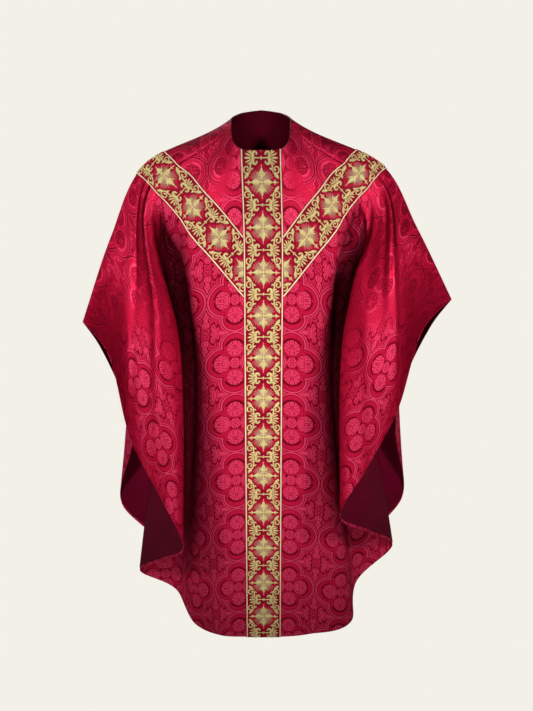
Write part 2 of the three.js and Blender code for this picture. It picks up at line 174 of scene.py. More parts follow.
def quarter_lines(side, is_front):
    """One side's lines on one panel, from the centre to the shoulder seam, as worn and on the flat cut."""
    lines = []
    for neck, facets, *stations in (FRONT_LINES if is_front else BACK_LINES) + [SEAM_LINE]:
        worn = [neck_point(side, is_front, neck)] + [placed(side, *station) for station in stations]
        lines.append({"worn": np.array(worn, float), "facets": facets, "seam": neck == 1})
    lengthwise = [run_along(line["worn"]) for line in (lines[0], lines[-1])]
    centre_share, seam_share = (run / run[-1] for run in lengthwise)
    runs = run_along(np.array([line["worn"] for line in lines]))
    depth = CUT["front_depth"] if is_front else CUT["back_depth"]
    for i, line in enumerate(lines):
        cut = []
        for station in range(4):
            centre_y = depth + (CUT["length"] - depth) * centre_share[station]
            seam_x = CUT["neck_half"] + (CUT["half_width"] - CUT["neck_half"]) * seam_share[station]
            seam_y = CUT["seam_drop"] * seam_share[station]
            square = NECK_FRONT_SQUARE if is_front and station == 0 else ELLIPSE
            run = runs[:, station]
            share = (run[i] - run[1]) / (run[-1] - run[1])
            reach = centre_y - seam_y
            x, y = (0, reach) if i == 0 else rounded_quarter(seam_x, reach, square, share)
            cut.append([side[0] * x, seam_y + y, 0])
        line["cut"] = np.array(cut, float)
        line["across"] = runs[i, 3] / runs[-1, 3]
    return lines


def ring_of_lines():
    """The lines once round, by ring places: the centre front is 0, the seams are 1 and 3, the back is 2."""
    def numbered(lines, place_of):
        return [{**line, "place": place_of(line["across"])} for line in lines]
    return (numbered(quarter_lines(LEFT, True), lambda across: across)
            + numbered(quarter_lines(LEFT, False)[::-1][1:], lambda across: 2 - across)
            + numbered(quarter_lines(RIGHT, False)[1:], lambda across: 2 + across)
            + numbered(quarter_lines(RIGHT, True)[::-1][1:-1], lambda across: 4 - across))


RING = ring_of_lines()


def surface(places, downs, key):
    """Places as rows and columns, worn or on the flat cut, where the curve stops at a shoulder seam."""
    stack = np.array([along(line, key, downs) for line in RING])
    starts = np.array([line["place"] for line in RING])
    seams = np.array([line["seam"] for line in RING])
    wrapped = np.asarray(places) % 4
    number = np.searchsorted(starts, wrapped, side="right") - 1
    first, last = number, (number + 1) % len(RING)
    a, b, c, d = (stack[n % len(RING)].copy() for n in (number - 1, number, number + 1, number + 2))
    if key == "cut":
        a[seams[first]] = (2 * b - c)[seams[first]]
        d[seams[last]] = (2 * c - b)[seams[last]]
    share = (wrapped - starts[first]) / ((starts[last] - starts[first]) % 4)
    return curve_between(a, b, c, d, share[:, None, None]).transpose(1, 0, 2)


# ---- Creases that the cloth's own weight and the arms pull in it ----
# Each is a path of (share of the way down, ring place, depth), with its half width in ring places. Ridges
# stand out, troughs go in. Ring places near 0 and 4 are the front, and near 2 the back.

CREASES = [
    # pulls that fan out below the right arm's orphrey
    (0.016, [(0.16, 3.335, 0), (0.24, 3.33, -5), (0.4, 3.33, -6), (0.7, 3.33, -3), (1, 3.33, 0)]),
    (0.02, [(0.2, 3.2, 0), (0.33, 3.2, 4), (0.6, 3.21, 3), (1, 3.22, 1)]),
    # the deep troughs that start under each arm's orphrey, beside the body
    (0.05, [(0.215, 3.62, 0), (0.235, 3.66, -8), (0.265, 3.725, -22), (0.3, 3.757, -25), (0.36, 3.765, -14),
            (0.45, 3.77, 0)]),
    (0.05, [(0.195, 0.36, 0), (0.215, 0.325, -8), (0.245, 0.26, -22), (0.28, 0.233, -25), (0.34, 0.22, -14),
            (0.43, 0.215, 0)]),
    # the ridge and troughs on the left arm's drape
    (0.035, [(0.2, 0.4, 0), (0.283, 0.46, 7), (0.42, 0.57, 8), (0.567, 0.665, 7), (0.783, 0.69, 3),
             (1, 0.7, 0)]),
    (0.03, [(0.24, 0.66, 0), (0.36, 0.73, -4), (0.567, 0.75, -5), (0.8, 0.75, 0)]),
    (0.03, [(0.2, 0.82, 0), (0.4, 0.86, -6), (0.533, 0.858, -8), (0.75, 0.81, -4), (1, 0.79, 0)]),
    # soft waves of the front at the hem
    (0.03, [(0.5, 0.13, 0), (0.8, 0.13, 3), (1, 0.13, 5)]),
    (0.03, [(0.5, 0.2, 0), (0.8, 0.2, -3), (1, 0.2, -6)]),
    (0.03, [(0.55, 3.87, 0), (0.85, 3.87, -3), (1, 3.87, -5)]),
    (0.03, [(0.5, 3.8, 0), (0.8, 3.8, 2), (1, 3.8, 5)]),
    # pulls from the neck out over the shoulders
    (0.02, [(0.01, 0.5, 0), (0.06, 0.53, -3), (0.12, 0.58, -3), (0.17, 0.6, 0)]),
    (0.02, [(0.01, 3.5, 0), (0.06, 3.47, -3), (0.12, 3.42, -3), (0.17, 3.4, 0)]),
    # the back
    (0.03, [(0.1, 1.88, 0), (0.3, 1.87, 3), (0.6, 1.86, 5), (1, 1.85, 6)]),
    (0.03, [(0.1, 2.12, 0), (0.3, 2.13, 3), (0.6, 2.14, 5), (1, 2.15, 6)]),
    (0.022, [(0.15, 1.3, 0), (0.3, 1.3, -5), (0.6, 1.3, -6), (1, 1.3, -4)]),
    (0.022, [(0.15, 2.7, 0), (0.3, 2.7, -5), (0.6, 2.7, -6), (1, 2.7, -4)]),
]


def crease_heights(places, downs):
    """How far each place stands out from the smooth surface."""
    height = np.zeros((len(downs), len(places)))
    for half_width, path in CREASES:
        down, place, depth = np.array(path).T
        offset = (places[None, :] - np.interp(downs, down, place)[:, None] + 2) % 4 - 2
        height += np.interp(downs, down, depth, left=0)[:, None] * np.exp(-(offset / half_width) ** 2)
    return height


def outward(points):
    """The cloth's outward direction at each point of a grid."""
    down, round_ = np.gradient(points, axis=0), np.gradient(points, axis=1)
    return unit(np.cross(down, round_))


class Panel:
    """A front or back panel: a grid of worn points, outward directions and places on the flat cut."""

    def __init__(self, is_front, last=1.0):
        across = {side: self.across(side, is_front) for side in (LEFT, RIGHT)}
        if is_front:
            places = np.concatenate([-across[RIGHT][:0:-1], across[LEFT]])
        else:
            places = np.concatenate([2 - across[LEFT][:0:-1], 2 + across[RIGHT]])
        downs = divided(ROWS, [ROW_STEPS] * (len(ROWS) - 1)) * last
        margin = 0.004  # of ring place, past each seam, so that directions there are right
        wide = np.concatenate([[places[0] - margin], places, [places[-1] + margin]])
        smooth = surface(wide, downs, "worn")
        points = smooth + outward(smooth) * crease_heights(wide, downs)[:, :, None]
        self.out = outward(points)[:, 1:-1]
        self.points = points[:, 1:-1].copy()
        self.flat = surface(places, downs, "cut")[:, :, :2]
        for edge, inner in ((0, 1), (-1, -2)):
            self.points[:, edge] += SEAM * unit(self.points[:, inner] - self.points[:, edge])

    @staticmethod
    def across(side, is_front):
        """The places of one side's columns of points, from 0 at the centre to 1 at the seam."""
        lines = quarter_lines(side, is_front)
        return divided([line["across"] for line in lines], [line["facets"] for line in lines])

    def prepare(self):
        """Makes the panel ready to carry pieces that are laid out on the flat cut."""
        rows, columns = self.flat.shape[:2]
        self.corners = triangles_of(quads_of(rows, columns))
        flat = np.concatenate([self.flat.reshape(-1, 2), np.zeros((rows * columns, 1))], axis=1)
        self.tree = BVHTree.FromPolygons(flat.tolist(), self.corners.tolist(), all_triangles=True)
        return self

    def lay(self, flat, height):
        """Worn points for places on the flat cut, at heights above the cloth."""
        found = [self.tree.find_nearest((x, y, 0)) for x, y in flat]
        near = np.array([place.xy for place, _, _, _ in found])
        corners = self.corners[[number for _, _, number, _ in found]]
        a, b, c = (self.flat.reshape(-1, 2)[corners[:, n]] for n in range(3))
        area = cross2(b - a, c - a)
        share_b, share_c = cross2(near - a, c - a) / area, cross2(b - a, near - a) / area
        shares = np.stack([1 - share_b - share_c, share_b, share_c], axis=1)[:, :, None]
        points = (self.points.reshape(-1, 3)[corners] * shares).sum(axis=1)
        out = (self.out.reshape(-1, 3)[corners] * shares).sum(axis=1)
        return points + unit(out) * np.reshape(height, (-1, 1))


def cross2(p, q):
    return p[:, 0] * q[:, 1] - p[:, 1] * q[:, 0]


# ---- Meshes ----

def quads_of(rows, columns):
    """The faces of a grid of points."""
    number = np.arange(rows * columns).reshape(rows, columns)
    corners = [number[:-1, :-1], number[1:, :-1], number[1:, 1:], number[:-1, 1:]]
    return np.stack(corners, axis=-1).reshape(-1, 4)


def triangles_of(quads):
    return np.concatenate([quads[:, [0, 1, 2]], quads[:, [0, 2, 3]]])


def grid_wall(top, bottom):
    """A closed wall between two grids of points that lie over each other."""
    rows, columns = top.shape[:2]
    number = np.arange(rows * columns).reshape(rows, columns)
    behind = rows * columns
    quads = quads_of(rows, columns)
    edge = np.concatenate([number[:, 0], number[-1, 1:], number[-2::-1, -1], number[0, -2:0:-1]])
    after = np.roll(edge, -1)
    rim = np.stack([edge, edge + behind, after + behind, after], axis=1)
    points = np.concatenate([top.reshape(-1, 3), bottom.reshape(-1, 3)])
    return points, np.concatenate([quads, quads[:, ::-1] + behind, rim])


def corner_numbers(mesh):
    """The number of the point at each corner of each face."""
    numbers = np.empty(len(mesh.loops), dtype=np.int32)
    mesh.loops.foreach_get("vertex_index", numbers)
    return numbers


def new_object(name, data):
    made = bpy.data.objects.new(name, data)
    bpy.context.scene.collection.objects.link(made)
    return made


SHARP = radians(50)  # a bend beyond this is shaded as an edge


def new_piece(name, points, faces, material, uv, rose=None):
    """A mesh object from points in millimetres, each with a uv in metres, and with a rose number for gold."""
    mesh = bpy.data.meshes.new(name)
    faces = faces.tolist() if isinstance(faces, np.ndarray) else faces
    mesh.from_pydata((np.asarray(points) * MM).tolist(), [], faces)
    mesh.uv_layers.new(name="Flat").data.foreach_set("uv", np.asarray(uv)[corner_numbers(mesh)].ravel())
    if rose is not None:
        mesh.attributes.new("rose", "FLOAT", "POINT").data.foreach_set("value", np.asarray(rose, float))
    mesh.materials.append(material)
    mesh.polygons.foreach_set("use_smooth", [True] * len(mesh.polygons))
    mesh.set_sharp_from_angle(angle=SHARP)
    mesh.update()
    return new_object(name, mesh)


def cloth_uv(flat):
    """The flat cut in metres, twice: for a wall's outer and inner points."""
    uv = flat.reshape(-1, 2) * (MM, -MM)
    return np.concatenate([uv, uv])


def panel_wall(name, panel, high, low, material):
    points, faces = grid_wall(panel.points + panel.out * high, panel.points + panel.out * low)
    return new_piece(name, points, faces, material, cloth_uv(panel.flat))


# ---- Patterns as arithmetic on fields ----

def plug(tree, socket, value):
    """Gives a socket a field or a plain value."""
    if isinstance(value, Field):
        tree.links.new(value.socket, socket)
    else:
        socket.default_value = value


class Field:
    """A number or vector that varies over a surface: a socket of a material's nodes, with arithmetic."""

    def __init__(self, tree, socket):
        self.tree, self.socket = tree, socket

    def node(self, kind, operation, inputs):
        node = self.tree.nodes.new(kind)
        node.operation = operation
        for socket, value in zip(node.inputs, inputs):
            plug(self.tree, socket, value)
        return node

    def math(self, operation, *others):
        return Field(self.tree, self.node("ShaderNodeMath", operation, (self, *others)).outputs[0])

    def __add__(self, other):
        return self.math("ADD", other)

    def __sub__(self, other):
        return self.math("SUBTRACT", other)

    def __mul__(self, other):
        return self.math("MULTIPLY", other)

    __radd__, __rmul__ = __add__, __mul__

    def __rsub__(self, other):
        return (self * -1) + other

    def low(self, other):
        return self.math("MINIMUM", other)

    def high(self, other):
        return self.math("MAXIMUM", other)

    def below(self, edge, soft):
        """1 where the field is under an edge and 0 above it, with a soft step between."""
        node = self.tree.nodes.new("ShaderNodeMapRange")
        node.interpolation_type = "SMOOTHSTEP"
        self.tree.links.new(self.socket, node.inputs["Value"])
        step = {"From Min": edge - soft, "From Max": edge + soft, "To Min": 1, "To Max": 0}
        for name, value in step.items():
            node.inputs[name].default_value = value
        return Field(self.tree, node.outputs[0])

    def ring(self, middle, half, soft):
        """1 in a band around a value."""
        return (self - middle).math("ABSOLUTE").below(half, soft)

    def oval(self, x, y, rx, ry):
        """How far each point is outside an oval, for a field of positions."""
        factors = (self, (1 / rx, 1 / ry, 0), (-x / rx, -y / ry, 0))
        scaled = self.node("ShaderNodeVectorMath", "MULTIPLY_ADD", factors).outputs["Vector"]
        length = self.node("ShaderNodeVectorMath", "LENGTH", (Field(self.tree, scaled),)).outputs["Value"]
        reach = min(rx, ry)
        return Field(self.tree, length).math("MULTIPLY_ADD", reach, -reach)


class Finish:
    """A material under construction, with its Principled shader and the fields that feed it."""

    def __init__(self, name, **constants):
        self.material = bpy.data.materials.new(name)
        self.material.use_nodes = True
        self.tree = self.material.node_tree
        self.shader = self.tree.nodes["Principled BSDF"]
        for socket, value in constants.items():
            self.shader.inputs[socket.replace("_", " ")].default_value = value

    def node(self, kind, **inputs):
        node = self.tree.nodes.new(kind)
        for name, value in inputs.items():
            plug(self.tree, node.inputs[name.replace("_", " ")], value)
        return node

    def field(self, socket):
        return Field(self.tree, socket)

    def flat(self):
        """Places on the flat cut, in millimetres, and then their x and y."""
        uv = self.tree.nodes.new("ShaderNodeUVMap")
        uv.uv_map = "Flat"
        place = self.field(uv.outputs[0])
        scaled = place.node("ShaderNodeVectorMath", "SCALE", (place,))
        scaled.inputs["Scale"].default_value = 1 / MM
        flat = self.field(scaled.outputs["Vector"])
        split = self.node("ShaderNodeSeparateXYZ", Vector=flat)
        return flat, self.field(split.outputs["X"]), self.field(split.outputs["Y"])

    def joined(self, x, y):
        return self.field(self.node("ShaderNodeCombineXYZ", X=x, Y=y).outputs[0])

    def noise(self, vector, scale, detail):
        texture = self.node("ShaderNodeTexNoise", Vector=vector, Scale=scale, Detail=detail)
        return self.field(texture.outputs["Fac"])

    def mixed(self, share, low, high):
        """A colour between two, by a field."""
        node = self.tree.nodes.new("ShaderNodeMix")
        node.data_type = "RGBA"
        self.tree.links.new(share.socket, node.inputs["Factor"])
        for name, value in (("A", low), ("B", high)):
            socket = next(s for s in node.inputs if s.name == name and s.type == "RGBA")
            plug(self.tree, socket, value if isinstance(value, Field) else (*value, 1))
        return self.field(next(s for s in node.outputs if s.type == "RGBA"))

    def feed(self, name, field):
        self.tree.links.new(field.socket, self.shader.inputs[name])

    def bump(self, height, distance, strength):
        bump = self.node("ShaderNodeBump", Height=height, Distance=distance, Strength=strength)
        self.tree.links.new(bump.outputs["Normal"], self.shader.inputs["Normal"])


# ---- Finishes ----

DAMASK_WIDE, DAMASK_TALL = 62.5, 73.9  # half a repeat of the damask
DAMASK_ROW = -561.5  # where a row of medallions is on the flat cut, with up as positive

# Ovals in the corner between four medallions: middle x and y, and half width and height, from the corner.
CORNER_LEAVES = [
    (0, 22, 7.4, 8.5), (0, 33, 3.6, 7), (0, 39, 6.2, 5), (0, 45, 2.4, 6.5),
    (16, 6, 5.4, 15), (25.7, 0, 4.2, 13.5), (34.5, 0, 6.8, 4.8), (40, 0, 4.5, 2.2),
]
CORNER_VEINS = [(0, 22, 3.2, 6), (16, 7, 2.4, 10), (0, 39, 2.6, 3), (25.7, 0, 1.6, 8)]


def damask_tone(finish):
    """The damask's figure on the flat cut: 0 on dark outlines, about 0.5 on the ground, 1 on bright satin.

    A quarter of a repeat is drawn and mirrored, in millimetres from the medallion's middle or, in the corner
    between four medallions, from that corner. A medallion of four lobes, each with a dark crescent outside
    it, stands in a frame of bands. Leaves and a small rosette fill the corner. Sine waves are in radians for
    each millimetre.
    """
    _, u, v = finish.flat()
    x = (u - DAMASK_WIDE).math("PINGPONG", DAMASK_WIDE)
    y = (v - DAMASK_ROW).math("PINGPONG", DAMASK_TALL)
    at = finish.joined(x, y)
    corner = finish.joined(DAMASK_WIDE - x, DAMASK_TALL - y)
    soft = 0.6  # half of a drawn line's soft edge
    speckle = finish.noise(at, 0.3, 2.0).below(0.46, 0.08)
    tendrils = finish.noise(corner, 0.26, 1.5).below(0.45, 0.08)

    lobes = at.oval(27, 0, 16.6, 20.5).low(at.oval(0, 34.5, 17.4, 18.6))
    inner = lobes.low(at.oval(0, 0, 10.5, 13))
    hollow = at.oval(25.4, 0, 22.6, 24.6).low(at.oval(0, 35, 22.4, 22.6))
    frame_edge = at.oval(23.3, 0, 42.1, 42.1).low(at.oval(0, 43.8, 33.9, 33.9))

    # the frame: bands that follow its outer edge, and one that follows the hollow
    bands = (frame_edge.ring(-1.0, 1.1, soft) + frame_edge.ring(-5.6, 1.9, soft)).low(1)
    dark_bands = (frame_edge.ring(-3.0, 0.9, soft) + frame_edge.ring(-8.4, 0.8, soft)
                  + hollow.ring(2.0, 0.5, soft) * 0.5).low(1)
    # the medallion: bright lobes, each with a dark crescent on its outer side and a small figure in it
    teeth = (x * 1.9).math("SINE") * (y * 1.9).math("SINE") * 1.1
    crescent = (hollow.below(0, soft) * (1 - (lobes + teeth).below(1.0, soft))
                * (1 - (x.low(y * 10) - 30).below(0, 1.5) * (y - 42.5).below(0, 1.5)))
    outline = (inner.ring(0.4, 0.8, soft) * hollow.below(3, 1)).low(1)
    drop = at.oval(31, 0, 4.5, 3).ring(0, 0.8, soft) + at.oval(0, 38, 3, 4.5).ring(0, 0.8, soft)
    knots = at.oval(9.0, 12.2, 2.0, 2.2).below(0, 0.7)

    # the corner's leaves, each with a thin dark outline, on a ground full of tendrils
    leaf = reduce(Field.low, [corner.oval(*oval) for oval in CORNER_LEAVES])
    veins = reduce(Field.__add__, [corner.oval(*oval).ring(0, 0.6, soft) for oval in CORNER_VEINS])
    rosette = corner.oval(0, 0, 9.4, 10)
    pearls = ((x * 1.7).math("SINE") * (y * 1.7).math("SINE")).below(0.1, 0.5)
    dots = corner.oval(11.6, 5.8, 2.0, 2.3).below(0, 0.6)

    inside = frame_edge.below(0, soft)
    medallion = 0.52 + bands * 0.5 + inner.below(0, soft) * (0.5 - speckle * 0.6) - dark_bands * 0.5
    medallion = medallion - crescent * 0.95 - outline * 0.34 - drop * 0.4 - knots * 0.8
    leaves = 0.7 + leaf.below(0, 0.6) * 0.2 - leaf.ring(1.3, 0.8, soft) * 0.5
    leaves = leaves - veins * leaf.below(-0.5, 0.5) * 0.4
    leaves = leaves - tendrils * (1 - leaf.below(0.5, 1)) * 0.6
    leaves = leaves + rosette.below(0, 0.6) * (0.3 - pearls * 0.45) - dots * 0.7
    return (medallion * inside + leaves * (1 - inside)).high(0).low(1)


# The damask's colours: on its dark outlines, its ground and its bright satin, and the painted shade put where
# folds lie close together
DAMASK_DARK, DAMASK_RED, DAMASK_BRIGHT = (0.1, 0, 0.006), (0.46, 0.005, 0.034), (0.70, 0.046, 0.125)
DAMASK_PAINTED_FOLD_SHADE = (0.02, 0, 0.001)
UP_PAINTED_REFLECTION = (0.22, 0.12)  # the normal's z where painted reflection and shade flip the figure and darken it, and half of the change's width
INWARD_PAINTED_SHADE = (-0.36, 0.17)  # the same for the normal's outward x, where painted shade fades the figure and darkens it
PAINTED_SHADE_REACH = 0.12  # metres within which nearby folds darken the colour with painted shade


def damask_finish():
    finish = Finish("red damask", Specular_IOR_Level=0.12, Specular_Tint=(1.0, 0.36, 0.52, 1))
    flat, u, v = finish.flat()
    figure = damask_tone(finish)
    grain = finish.noise(flat, 0.3, 3.0)
    cloud = finish.noise(flat, 0.012, 2.0)
    # painted reflection and shade: where the satin faces up, its figure is drawn reversed, dark in bright
    # outlines, and darker the more it faces up, standing in for the dark ceiling it would mirror
    normal = finish.field(finish.node("ShaderNodeNewGeometry").outputs["Normal"])
    facing = finish.node("ShaderNodeSeparateXYZ", Vector=normal).outputs
    leftwards, up = finish.field(facing["X"]), finish.field(facing["Z"])
    flipped = 1 - up.below(*UP_PAINTED_REFLECTION)
    tone = figure * (1 - flipped) + ((2.0 - up * 1.9).low(0.86) - figure * 0.66) * flipped
    # painted shade: where the satin faces in towards the body, its figure is faded and its tone pressed down
    # towards dark red, standing in for the sheen and light it lacks there
    faces_in_painted_shade = (leftwards * u.math("SIGN")).below(*INWARD_PAINTED_SHADE)
    tone = tone * (1 - faces_in_painted_shade * 0.55) + faces_in_painted_shade * 0.08
    # the figure's tone with grain and clouding, carrying the painted reflection and shade set above
    worn = tone + (grain - 0.5) * 0.6 + (cloud - 0.5) * 0.2
    dark_side = finish.mixed(worn.below(0.25, 0.3), DAMASK_RED, DAMASK_DARK)
    lit = finish.mixed(1 - worn.below(0.75, 0.3), dark_side, DAMASK_BRIGHT)
    # painted shade: the base colour goes towards a near-black red where ambient occlusion finds other cloth
    # close by, between folds
    ao_for_painted_shade = finish.field(finish.node("ShaderNodeAmbientOcclusion", Distance=PAINTED_SHADE_REACH).outputs["AO"])
    finish.feed("Base Color", finish.mixed((ao_for_painted_shade * 1.2 - 0.06).high(0).low(1), DAMASK_PAINTED_FOLD_SHADE, lit))
    finish.feed("Metallic", 0.12 + worn.high(0).low(1) * 0.42)
    finish.feed("Roughness", 0.58 - tone * 0.08 + (grain - 0.5) * 0.1)
    rib = ((u + v) * 7.0).math("SINE") * 0.12 + grain * 0.5
    finish.bump(figure + rib * 0.6, 0.00025, 0.5)
    return finish.material


LINING_DARK, LINING_LIGHT = (0.07, 0.0003, 0.008), (0.12, 0.0008, 0.014)


def lining_finish():
    finish = Finish("maroon satin lining", Specular_IOR_Level=0.12, Specular_Tint=(1.0, 0.4, 0.5, 1))
    flat, u, v = finish.flat()
    cloud = finish.noise(flat, 0.02, 3.0)
    grain = finish.noise(flat, 0.7, 2.0)
    finish.feed("Base Color", finish.mixed(cloud, LINING_DARK, LINING_LIGHT))
    finish.feed("Roughness", 0.55 + (grain - 0.5) * 0.2)
    twill = ((u * 0.5 + v) * 6.0).math("SINE")
    finish.bump(twill * 0.3 + grain, 0.0002, 0.4)
    return finish.material


PITCH = 98.4  # one repeat of the braid
# the braid's colours: its dark and red ground, and the painted shade along its edges beside the gold cord
BRAID_DARK, BRAID_RED, BRAID_CORD_SHADE = (0.1, 0, 0.005), (0.46, 0.005, 0.037), (0.24, 0.01, 0.02)


def braid_finish():
    """The braid's red satin ground, a little brighter in a lozenge round each flower."""
    finish = Finish("red braid ground", Specular_IOR_Level=0.15, Specular_Tint=(1.0, 0.4, 0.5, 1))
    flat, u, v = finish.flat()
    along_band = v.math("PINGPONG", PITCH / 2)
    bright = (u.math("ABSOLUTE") * 1.1 + along_band).ring(36, 5.0, 3.0)
    grain = finish.noise(flat, 0.4, 2.0)
    tone = bright * 0.45 + (grain - 0.5) * 0.9 + 0.3
    # painted shade: a dark strip along both edges of the band, where the raised cord would shade the ground
    # beside it
    edge = 1 - u.math("ABSOLUTE").below(39.3, 0.2)
    red = finish.mixed(tone.high(0).low(1), BRAID_DARK, BRAID_RED)
    finish.feed("Base Color", finish.mixed(edge, red, BRAID_CORD_SHADE))
    finish.feed("Roughness", 0.5 + grain * 0.2)
    finish.bump((u * 9.0).math("SINE") * 0.3 + grain * 0.5, 0.0002, 0.5)
    return finish.material


# gold's colours: dark and bright thread at random, and the painted shade at a stroke's sides
GOLD_DARK, GOLD_BRIGHT, GOLD_EDGE_SHADE = (0.30, 0.19, 0.045), (0.86, 0.76, 0.34), (0.26, 0.13, 0.03)
ROSE_THREAD, CREAM_THREAD = (0.42, 0.22, 0.17), (0.80, 0.68, 0.42)


def gold_finish():
    """Gold thread laid side by side across each stroke. rose is 1 for dull rose thread and -1 for cream."""
    finish = Finish("gold thread", Metallic=0.15, Specular_IOR_Level=0.5)
    _, across, run = finish.flat()
    rose = finish.field(finish.node("ShaderNodeAttribute").outputs["Fac"])
    rose.socket.node.attribute_name = "rose"
    place = finish.field(finish.node("ShaderNodeTexCoord").outputs["Object"])
    patch = finish.noise(place, 260.0, 2.0)
    thread = (run * 7.5 + patch * 3).math("SINE")
    # painted shade: the colour darkens towards the sides of each stroke, where its dome turns away
    edge = across.math("ABSOLUTE").math("POWER", 3)
    gold = finish.mixed(patch + thread * 0.12, GOLD_DARK, GOLD_BRIGHT)
    gold = finish.mixed(edge * 0.75, gold, GOLD_EDGE_SHADE)
    gold = finish.mixed(rose.high(0) * 0.9, gold, ROSE_THREAD)
    finish.feed("Base Color", finish.mixed((rose * -1).high(0), gold, CREAM_THREAD))
    finish.feed("Roughness", 0.45 + patch * 0.2)
    finish.bump(thread, 0.00012, 0.6)
    return finish.material


# ---- The gold embroidery: one repeat, in band coordinates: x across the band, y along it, z above it ----

def smooth_path(points, steps):
    """Evenly shared places along a smooth curve through points."""
    points = np.asarray(points, float)
    chain = np.concatenate([[2 * points[0] - points[1]], points, [2 * points[-1] - points[-2]]])
    whole = np.linspace(0, len(points) - 1, steps + 1)
    step = np.minimum(whole.astype(int), len(points) - 2)
    return curve_between(*(chain[step + n] for n in range(4)), (whole - step)[:, None])


DOME = np.array([(-1, 0), (-0.62, 0.72), (0, 1), (0.62, 0.72), (1, 0)])  # a stroke's cross-section


def stroke(path, halves, height, steps, rose=(0, 0)):
    """Satin stitch along a path, with its half widths at evenly shared places and its rose at both ends."""
    line = smooth_path(path, steps)
    half = np.interp(np.linspace(0, 1, steps + 1), np.linspace(0, 1, len(halves)), halves)
    ahead = unit(np.gradient(line, axis=0))
    side = np.stack([ahead[:, 1], -ahead[:, 0]], axis=1)
    run = run_along(line)
    points, uv = [], []
    for across, up in DOME:
        flat = line + side * (across * half)[:, None]
        points.append(np.column_stack([flat, up * height * np.minimum(1, half / 1.2)]))
        uv.append(np.column_stack([np.full(len(run), across), run]) * MM)
    points, uv = np.concatenate(points), np.concatenate(uv)
    quads = quads_of(len(DOME), steps + 1)
    last = (len(DOME) - 1) * (steps + 1)
    under = [(n, n + 1, last + n + 1, last + n) for n in range(steps)]
    ends = [[row * (steps + 1) + n for row in range(len(DOME))] for n in (0, steps)]
    return {"points": points, "uv": uv, "rose": np.tile(np.linspace(*rose, steps + 1), len(DOME)),
            "faces": [list(face)[::-1] for face in (*quads, *under, ends[0])] + [ends[1]]}


def mirrored(part, x=1, y=1):
    flipped = {**part, "points": part["points"] * (x, y, 1)}
    if x * y < 0:
        flipped["faces"] = [face[::-1] for face in part["faces"]]
    return flipped


def quarter_turn(part):
    return {**part, "points": part["points"][:, [1, 0, 2]] * (-1, 1, 1)}


def four_ways(parts):
    """Each part in all four quarters."""
    return [mirrored(part, x, y) for part in parts for x in (1, -1) for y in (1, -1)]


def joined_parts(parts):
    start = np.cumsum([0] + [len(part["points"]) for part in parts])
    joined = {key: np.concatenate([part[key] for part in parts]) for key in ("points", "uv", "rose")}
    joined["faces"] = [[corner + first for corner in face]
                       for part, first in zip(parts, start) for face in part["faces"]]
    return joined


def tall_arm():
    """The arm of the cross flower that runs along the band: a barbed leaf with a long tip."""
    leaf = stroke([(0, 1), (0, 11), (0, 21), (0, 31)], [1.6, 2.0, 3.0, 4.4, 6.2, 7.2, 3.6, 2.6, 0.4], 1.4, 14)
    barb = stroke([(1.5, 12.5), (5.4, 15.5), (10.4, 21)], [2.4, 2.6, 0.3], 1.2, 6)
    tip = stroke([(0, 30), (0, 33), (0, 36)], [0.4, 1.0, 0.3], 0.9, 4)
    return [leaf, barb, mirrored(barb, x=-1), tip]


def level_arm():
    """The arm that runs across the band: a rounded leaf, then a small trefoil."""
    leaf = stroke([(0, 1), (0, 8), (0, 16), (0, 24)], [1.6, 2.8, 5.2, 7.2, 6.6, 2.8, 1.0], 1.4, 12)
    trefoil = stroke([(0, 22), (0, 28), (0, 35.4)], [1.0, 2.6, 0.3], 0.9, 7)
    petals = stroke([(-5, 28.2), (0, 26.2), (5, 28.2)], [0.7, 1.6, 0.7], 0.8, 6)
    return [leaf, trefoil, petals]


def flower():
    """The cross flower: four arms, with fine rays between them, every second one shorter, and a middle."""
    upright = tall_arm()
    level = [quarter_turn(part) for part in level_arm()]
    arms = upright + [mirrored(part, y=-1) for part in upright]
    arms += level + [mirrored(part, x=-1) for part in level]
    rays = []
    for degrees in range(20, 75, 6):
        turned = radians(degrees)
        ahead = np.array([cos(turned), sin(turned)])
        length = 22 + 8 * sin(2 * turned) - 3 * (degrees // 6 % 2)
        path = [ahead * 5, ahead * length * 0.6, ahead * length]
        rays.append(stroke(path, [0.4, 0.6, 0.2], 0.5, 4, (0.6, 1)))
    return arms + four_ways(rays) + [stroke([(0, -4), (0, 4)], [0.6, 3.4, 0.6], 1.4, 6)]


